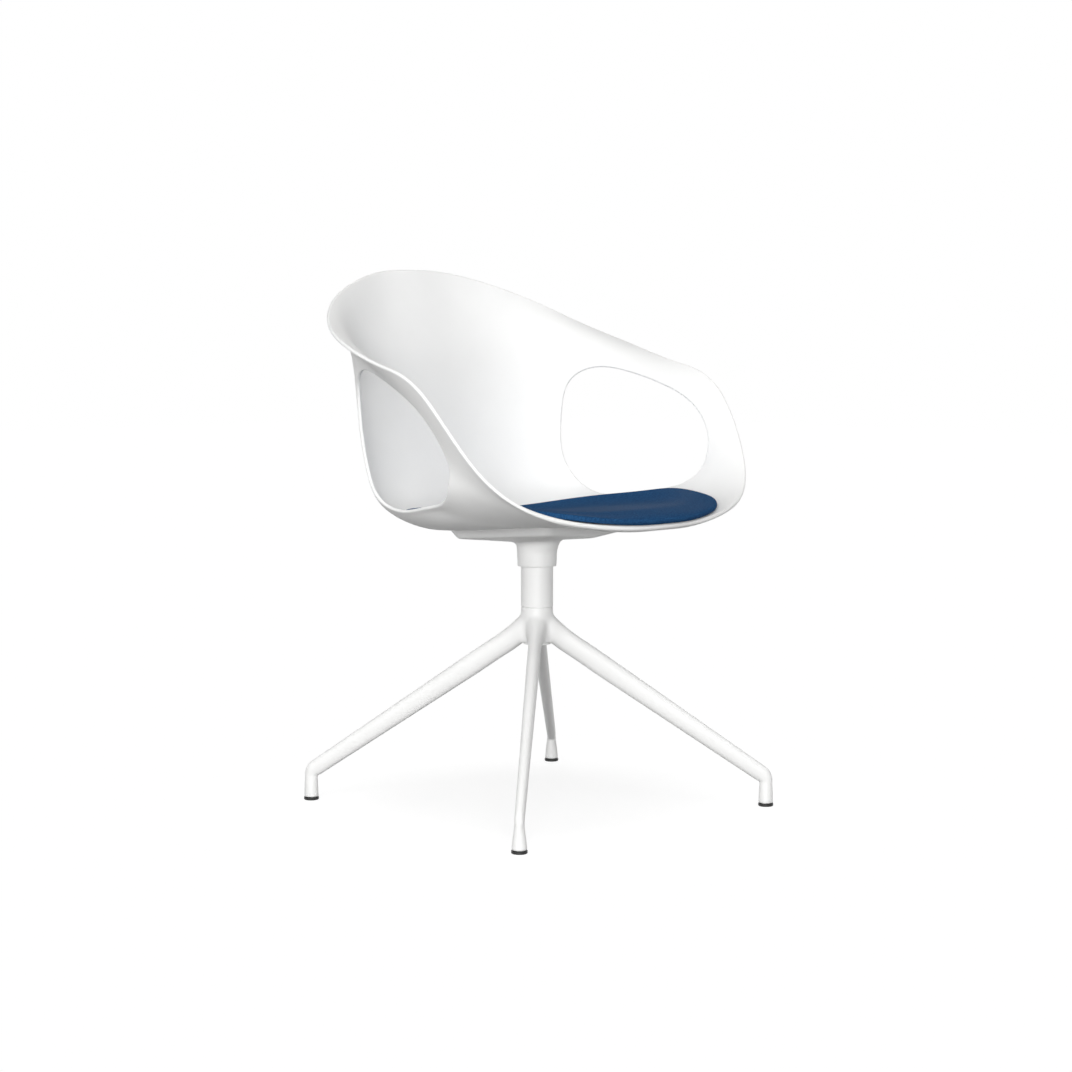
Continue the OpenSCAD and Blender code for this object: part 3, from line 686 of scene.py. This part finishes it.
def wall_round(bm, up, loops, low, soft):
    """The layer of the mesh becomes a wall, with a round edge along each open loop.

    By its soft share, each point's underside goes to its low place and is smoothed.
    """
    gaps = edge_distances(bm.verts, loops)
    shares = 1 - EDGE_THIN * (1 - fade(gaps, 0, EDGE_REACH))
    soft = soft * fade(gaps, *UNDER_REACH)
    ups = {v: Vector(w) * s for v, w, s in zip(bm.verts, up, shares)}
    half = HALF_T * MM
    open_edges = [
        (loop, edge_ways(loop, sense, ups), [ups[v] for v in loop], [v.co.copy() for v in loop])
        for loop, sense in loops
    ]
    made = bmesh.ops.duplicate(bm, geom=bm.verts[:] + bm.edges[:] + bm.faces[:])
    under = [made["vert_map"][v] for v in ups]
    for (v, way), twin, place, share in zip(ups.items(), under, low, soft):
        twin.co = (v.co - way * half).lerp(Vector(place), share)
    smooth_layer(bm, under, soft, UNDER_ROUNDS)
    for v, way in ups.items():
        v.co = v.co + way * half
    for open_edge in open_edges:
        round_edge(bm, *open_edge)
    bmesh.ops.remove_doubles(bm, verts=bm.verts, dist=EDGE_GAP)
    bmesh.ops.recalc_face_normals(bm, faces=bm.faces)


def make_shell():
    """A flat disc with both arm openings cut out is laid on the shell's surface and walled."""
    rows = [(j / SHELL_ROWS) ** ROW_POWER for j in range(SHELL_ROWS + 1)]
    bm = spun([(r, 0) for r in rows], SHELL_STEPS)
    rim = edge_loop([v for v in bm.verts if v.is_boundary])
    ring = outline_on_disc(set_back(arm_outline()))
    holes = [cut_opening(bm, ring * (side, 1, 1)) for side in (1, -1)]
    verts = list(bm.verts)
    co = coordinates(verts)
    turn, t = turns_of(co), np.hypot(co[:, 0], co[:, 1])
    place, up, outward = frames(turn, t)
    below, lower, _ = frames(turn, t, UNDER_Z_SHARES)
    where = {v: k for k, v in enumerate(verts)}
    move(verts, place * MM)
    loops = [(rim, lambda v: Vector(outward[where[v]]))]
    for hole in holes:
        middle = sum((v.co for v in hole), Vector()) / len(hole)
        loops.append((hole, lambda v, middle=middle: middle - v.co))
    soft = window(t, UNDER_SHARES) * window(abs(turn), UNDER_TURNS)
    wall_round(bm, up, loops, (below - HALF_T * lower) * MM, soft)
    shell = piece("seat_shell", bm, shell_plastic, "seat")
    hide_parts("shell")


# Seat pad

PAD_STEPS = 224
PAD_ROWS = 34
# In the spun profile, this much share past the edge stands for a millimetre of the side's bulge
SIDE_CODE = 0.001
SIDE_TURNS = [math.radians(b) for b in (-75, -50, -25, 0, 25, 50, 75)]
# Shares and heights of the cover's way down round the board's edge, and shares of the crown's edge
HEM = [(0.964, PAD_LOW - 0.9), (0.97, PAD_WRAP + 0.9), (0.977, PAD_WRAP + 0.1)]
CROWN_EDGE = [0.968, 0.977]
# The cover starts as this share of its thickness and swells under pressure in this many frames
PAD_START = 0.9
PAD_FRAMES = 20
# No point moves further than this, in metres
PAD_LIMIT = 0.0016
# The cover is held from its hem up to this height over its underside, in millimetres
PAD_HELD = 0.1
COVER_CLOTH = {
    "quality": 6,
    "mass": 0.3,
    "tension_stiffness": 20,
    "compression_stiffness": 20,
    "shear_stiffness": 8,
    "bending_stiffness": 1.5,
    "use_pressure": True,
    "uniform_pressure_force": 4,
    "vertex_group_mass": "held",
}


def pad_profile(thick):
    """Profile of the pad as share of its outline and height, with its side's bulge in the share."""
    flat = [i / PAD_ROWS * PAD_BOARD_SHARE for i in range(PAD_ROWS + 1)]
    top = PAD_LOW + PAD_EDGE_T * thick
    half = (top - PAD_WRAP) / 2
    rise = (PAD_T - PAD_EDGE_T) * thick
    side = [
        (PAD_EDGE_SHARE + PAD_SIDE * math.cos(b) * SIDE_CODE, PAD_WRAP + half * (1 + math.sin(b)))
        for b in SIDE_TURNS
    ]
    crown = [(s, top + rise * (1 - s**CROWN_POWER)) for s in reversed(flat + CROWN_EDGE)]
    return [(s, PAD_LOW) for s in flat] + HEM + side + crown


def swell(pad):
    """The cover swells over its foam in a cloth simulation, held along its underside and hem."""
    start = coordinates(pad.data.vertices)
    marks = pad.data.attributes["held"].data
    held = pad.vertex_groups.new(name="held")
    held.add([k for k in range(len(start)) if marks[k].value], 1.0, "REPLACE")
    cloth = pad.modifiers.new("cover", "CLOTH")
    for key, value in COVER_CLOTH.items():
        setattr(cloth.settings, key, value)
    cloth.settings.effector_weights.gravity = 0
    cloth.point_cache.frame_start = 1
    cloth.point_cache.frame_end = PAD_FRAMES
    for step in range(1, PAD_FRAMES + 1):
        bpy.context.scene.frame_set(step)
    swollen = pad.evaluated_get(bpy.context.evaluated_depsgraph_get())
    moved = coordinates(swollen.data.vertices) - start
    far = np.linalg.norm(moved, axis=1, keepdims=True)
    moved *= np.minimum(1, PAD_LIMIT / np.maximum(far, 1e-9))
    pad.modifiers.clear()
    bpy.context.scene.frame_set(1)
    move(pad.data.vertices, start + moved)
    pad.data.update()


def make_pad():
    """A spun cover is laid on the shell within the pad's outline, swollen and smoothed."""
    bm = spun(pad_profile(PAD_START), PAD_STEPS)
    low = bm.verts.layers.bool.new("held")
    verts = list(bm.verts)
    co = coordinates(verts)
    turn, share, lift = turns_of(co), np.hypot(co[:, 0], co[:, 1]), co[:, 2:]
    out = np.maximum(share - PAD_EDGE_SHARE, 0)[:, None] / SIDE_CODE
    share = np.minimum(share, PAD_EDGE_SHARE)
    place, up, along = frames(turn, share * around(PAD_SHARES, turn))
    move(verts, (place + lift * up + out * along) * MM)
    for v, height in zip(verts, co[:, 2]):
        v[low] = bool(height < PAD_LOW + PAD_HELD)
    bmesh.ops.recalc_face_normals(bm, faces=bm.faces)
    pad = piece("seat_pad_cover", bm, pad_wool, "seat")
    swell(pad)
    smooth = pad.modifiers.new("smooth", "SUBSURF")
    smooth.levels = smooth.render_levels = 1
    apply_modifiers(pad)
    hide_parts("seat_pad")


# Castings: each is one skin over its CAD solid, with its edges and inner corners softened

# Size of the skin's voxels in metres, and the rounds that smooth it: soft places first, then all
STAR_VOXEL = 0.0013
STAR_ROUNDS = 11
PLATE_VOXEL = 0.0014
PLATE_ROUNDS = 3
# Rounds at the legs' roots, and where they are blended, in millimetres: how far out, up to what
# height, over what distance that fades, and how many times faster it fades at the top
ROOT_ROUNDS = 90
ROOT_OUT = 85
ROOT_TOP = 287
ROOT_FADE = 25
ROOT_TOP_SPEED = 3
# Rounds under the plate, and where they begin over its collar and fade in, in millimetres
BOWL_ROUNDS = 36
COLLAR_TOP = 364
COLLAR_FADE = 6
# The plate keeps its shape down to the first distance under the shell, in millimetres, and is soft
# from the second one down
PLATE_SOFT = (3, 10)


def casting(name, node, body, voxel, softness, soft_rounds, all_rounds):
    """A casting from a CAD solid. Softness gives each point's share of the first rounds."""
    cast = piece(name, merged_copy(node), powder_coat, body)
    skin = cast.modifiers.new("skin", "REMESH")
    skin.mode = "VOXEL"
    skin.voxel_size = voxel
    apply_modifiers(cast)
    share = softness(coordinates(cast.data.vertices) / MM)
    group = cast.vertex_groups.new(name="soft")
    for k in np.nonzero(share)[0]:
        group.add([int(k)], float(share[k]), "REPLACE")
    for label, count, where in (("corners", soft_rounds, "soft"), ("all", all_rounds, "")):
        soft = cast.modifiers.new(label, "SMOOTH")
        soft.factor = SMOOTH_FACTOR
        soft.iterations = count
        soft.vertex_group = where
    apply_modifiers(cast)
    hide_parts(node)


def root_softness(co):
    out, high = np.hypot(co[:, 0], co[:, 1]), co[:, 2]
    inner = np.clip((ROOT_OUT - out) / ROOT_FADE, 0, 1)
    return inner * np.clip((ROOT_TOP - high) / ROOT_FADE * ROOT_TOP_SPEED, 0, 1)


def plate_softness(co):
    under = SEAT_Z - HALF_T - math.tan(SEAT_TILT) * co[:, 1] - co[:, 2]
    return np.clip((co[:, 2] - COLLAR_TOP) / COLLAR_FADE, 0, 1) * fade(under, *PLATE_SOFT)


make_shell()
make_pad()
casting(
    "star_casting", "star_base", "base", STAR_VOXEL, root_softness, ROOT_ROUNDS, STAR_ROUNDS
)
casting(
    "plate_casting", "seat_plate", "seat", PLATE_VOXEL, plate_softness, BOWL_ROUNDS, PLATE_ROUNDS
)


# Floor, light and camera

# Half the floor's side in metres, its grey, and the share of light that it sends to the object
FLOOR_SIZE = 12
FLOOR_GREY = 0.95
FLOOR_BOUNCE = 0.05
# Share and strength of plain white in what the camera sees of the floor, under the seat and
# further out, so that the soft shadow stays and the open floor is as white as the backdrop, and
# the two distances from the swivel axis in metres
FLOOR_GLOW = (0.5, 1)
FLOOR_WHITE = (1.3, 1.003)
FLOOR_REACH = (0.15, 0.55)
# Strength of the backdrop's light on the object at the horizon and high up, and the band over
# which it changes, in shares of the way straight up
SKY = (1.57, 0.314)
SKY_BAND = (0, 0.35)
# Soft boxes: azimuth and elevation in degrees, distance, width and height in metres, and power
LAMPS = {
    "key": (-46, 5, 4, 1.2, 0.9, 74),
    "side": (-75, 5, 4, 1.2, 0.9, 23),
    "high_side": (-64, 30, 4, 2.4, 2.4, 32),
    "high_front": (-20, 50, 4, 2, 2, 19),
    "top": (0, 85, 3, 2.4, 2.4, 6),
    "back": (134, 14, 4, 2.4, 2.4, 35),
}
# Height in metres that the soft boxes point at
LAMP_AIM = 0.45
# Camera: its angle from the front and its tilt down in degrees, distance and height in metres,
# and its lens and sensor in millimetres
CAMERA_AZIMUTH = -46.4
CAMERA_DOWN = 4.95
CAMERA_DISTANCE = 3.32
CAMERA_HEIGHT = 0.681
CAMERA_LENS = 76.81
CAMERA_SENSOR = 36
# The swivel axis stands this far to the right of the picture's middle, and the lens, in pixels
AXIS_PIXELS = 1.03
LENS_PIXELS = 2287.2


def grey(value):
    return (value, value, value, 1)


def make_floor():
    """A wide floor, shown to the camera with its shadow and to reflections as plain white."""
    bm = bmesh.new()
    bmesh.ops.create_grid(bm, x_segments=1, y_segments=1, size=FLOOR_SIZE)
    mesh = bpy.data.meshes.new("floor")
    bm.to_mesh(mesh)
    bm.free()
    floor = bpy.data.objects.new("floor", mesh)
    bpy.context.scene.collection.objects.link(floor)
    material = bpy.data.materials.new("floor")
    n = Tree(material)
    n.tree.nodes.clear()
    distance = n.add("ShaderNodeVectorMath", operation="LENGTH")
    n.link(n.add("ShaderNodeTexCoord").outputs["Object"], distance.inputs[0])
    share, strength = (
        n.range(distance.outputs["Value"], span, FLOOR_REACH, "SMOOTHSTEP")
        for span in (FLOOR_GLOW, FLOOR_WHITE)
    )
    glow, plain = n.add("ShaderNodeEmission"), n.add("ShaderNodeEmission")
    lit, bounce = n.add("ShaderNodeBsdfDiffuse"), n.add("ShaderNodeBsdfDiffuse")
    n.link(strength, glow.inputs["Strength"])
    lit.inputs["Color"].default_value = grey(FLOOR_GREY)
    bounce.inputs["Color"].default_value = grey(FLOOR_BOUNCE)
    rays = n.add("ShaderNodeLightPath").outputs
    shown = n.mix(share, lit.outputs[0], glow.outputs[0])
    direct = n.mix(rays["Is Camera Ray"], plain.outputs[0], shown)
    mirrored = n.math("MAXIMUM", rays["Is Glossy Ray"], rays["Is Transmission Ray"])
    seen = n.math("MAXIMUM", rays["Is Camera Ray"], mirrored)
    n.show("ShaderNodeOutputMaterial", n.mix(seen, bounce.outputs[0], direct))
    mesh.materials.append(material)


def make_world():
    """A white backdrop for the camera, whose light on the object fades with height."""
    world = bpy.data.worlds.new("studio")
    bpy.context.scene.world = world
    n = Tree(world)
    n.tree.nodes.clear()
    split = n.add("ShaderNodeSeparateXYZ")
    n.link(n.add("ShaderNodeTexCoord").outputs["Generated"], split.inputs[0])
    white, sky = n.add("ShaderNodeBackground"), n.add("ShaderNodeBackground")
    for light in (white, sky):
        light.inputs["Color"].default_value = grey(1)
    n.link(n.range(split.outputs["Z"], SKY, SKY_BAND), sky.inputs["Strength"])
    rays = n.add("ShaderNodeLightPath").outputs
    shown = n.mix(rays["Is Camera Ray"], sky.outputs[0], white.outputs[0])
    n.show("ShaderNodeOutputWorld", shown)


def lamp(name, azimuth, elevation, distance, width, height, power):
    """A soft box that points at the seat, by its direction from the object in degrees."""
    data = bpy.data.lights.new(name, "AREA")
    data.shape = "RECTANGLE"
    data.size = width
    data.size_y = height
    data.energy = power
    obj = bpy.data.objects.new(name, data)
    a, e = math.radians(azimuth), math.radians(elevation)
    way = Vector((math.sin(a) * math.cos(e), -math.cos(a) * math.cos(e), math.sin(e)))
    obj.location = Vector((0, 0, LAMP_AIM)) + way * distance
    obj.rotation_euler = way.to_track_quat("Z", "Y").to_euler()
    bpy.context.scene.collection.objects.link(obj)


def make_camera():
    data = bpy.data.cameras.new("camera")
    data.lens = CAMERA_LENS
    data.sensor_width = CAMERA_SENSOR
    camera = bpy.data.objects.new("camera", data)
    a = math.radians(CAMERA_AZIMUTH)
    x, y = CAMERA_DISTANCE * math.sin(a), -CAMERA_DISTANCE * math.cos(a)
    camera.location = (x, y, CAMERA_HEIGHT)
    aside = math.atan(AXIS_PIXELS / LENS_PIXELS)
    camera.rotation_euler = (math.radians(90 - CAMERA_DOWN), 0, a + aside)
    bpy.context.scene.collection.objects.link(camera)
    bpy.context.scene.camera = camera


make_floor()
make_world()
for name, values in LAMPS.items():
    lamp(name, *values)
make_camera()
bpy.context.scene.view_settings.view_transform = "Standard"
